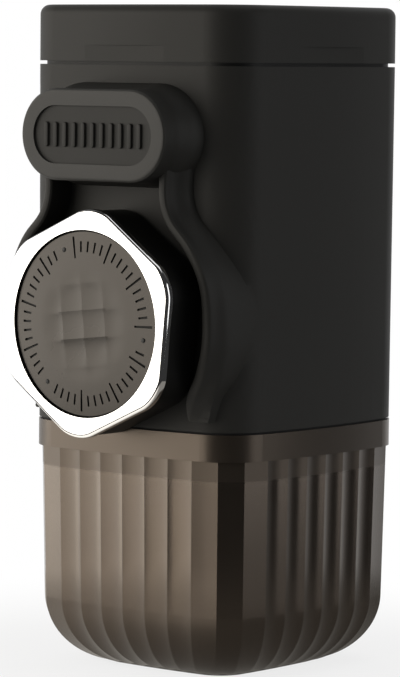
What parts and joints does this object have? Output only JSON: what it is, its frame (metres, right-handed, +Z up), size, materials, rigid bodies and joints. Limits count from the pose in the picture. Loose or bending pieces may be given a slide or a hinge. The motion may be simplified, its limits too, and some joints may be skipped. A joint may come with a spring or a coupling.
{
  "type": "handheld manual espresso maker",
  "caption": "Handheld manual espresso maker: upright black casing with lid, hexagonal pump knob in a lipped front well, water tank and pump inside, fluted smoky cup below.",
  "frame": {"origin": "middle of the cup's flat base, on the upright axis of the body", "axes": "+Z up through the lid, -Y out of the front through the pump knob, +X to the right of the knob seen from behind it"},
  "size_m": [0.0664, 0.0788, 0.15],
  "materials": {
    "soft_black": "soft-touch matt black moulding",
    "smoked_plastic": "smoky brown-grey translucent plastic, fluted and lightly frosted",
    "seal_rubber": "black silicone rubber",
    "inner_black": "plain black moulded plastic",
    "stainless": "stainless steel",
    "knob_black": "satin black moulded plastic",
    "chrome_ring": "bright chrome plate",
    "dial_grey": "warm dark grey satin moulding with shallow square facets"
  },
  "bodies": {
    "casing": {"brew_gasket": "seal_rubber", "brew_head": "inner_black", "casing": "soft_black", "cup_seal": "seal_rubber", "head_inlet_seal": "seal_rubber", "head_screws": "stainless", "inlet_retainer": "inner_black", "inlet_spring": "stainless", "lock_ring": "inner_black", "outlet_retainer": "inner_black", "outlet_spring": "stainless", "pump_housing": "inner_black", "pump_screws": "stainless", "return_spring": "stainless", "rod_guide": "inner_black", "rod_seal": "seal_rubber", "shower_screen": "stainless", "shower_screw": "stainless", "tank_outlet_seal": "seal_rubber", "tank_strainer": "stainless", "water_tank": "inner_black"},
    "lid": {"tank_lid": "soft_black", "lid_gasket": "seal_rubber"},
    "plunger": {"piston_rod": "stainless", "piston": "inner_black", "piston_seal": "seal_rubber", "knob_screw": "stainless"},
    "knob": {"knob_body": "knob_black", "knob_ring": "chrome_ring", "knob_insert": "dial_grey"},
    "filter": {"portafilter": "inner_black", "coffee_basket": "stainless", "spout": "inner_black"},
    "cup": {"cup": "smoked_plastic"},
    "inlet_ball": {"inlet_ball": "stainless"},
    "outlet_ball": {"outlet_ball": "stainless"}
  },
  "joints": [
    {"name": "lid_lift", "type": "slide", "parent": "casing", "child": "lid", "axis": [0, 0, 1], "range_m": [0, 0.03]},
    {"name": "pump_stroke", "type": "slide", "parent": "casing", "child": "plunger", "axis": [0, -1, 0], "range_m": [0, 0.016], "deforming": ["return_spring"]},
    {"name": "knob_turn", "type": "hinge", "parent": "plunger", "child": "knob", "pos_m": [0, 0, 0.0798], "axis": [0, -1, 0], "range_deg": [0, 60]},
    {"name": "portafilter_turn", "type": "hinge", "parent": "casing", "child": "filter", "pos_m": [0, 0, 0.05], "axis": [0, 0, 1], "range_deg": [0, 60]},
    {"name": "cup_pull", "type": "slide", "parent": "casing", "child": "cup", "axis": [0, 0, -1], "range_m": [0, 0.06]},
    {"name": "inlet_valve_lift", "type": "slide", "parent": "casing", "child": "inlet_ball", "axis": [0, 0, -1], "range_m": [0, 0.0008], "stiffness_N_per_m": 50, "springref_m": -0.002, "deforming": ["inlet_spring"]},
    {"name": "outlet_valve_lift", "type": "slide", "parent": "casing", "child": "outlet_ball", "axis": [0, 0, -1], "range_m": [0, 0.0008], "stiffness_N_per_m": 50, "springref_m": -0.002, "deforming": ["outlet_spring"]}
  ]
}
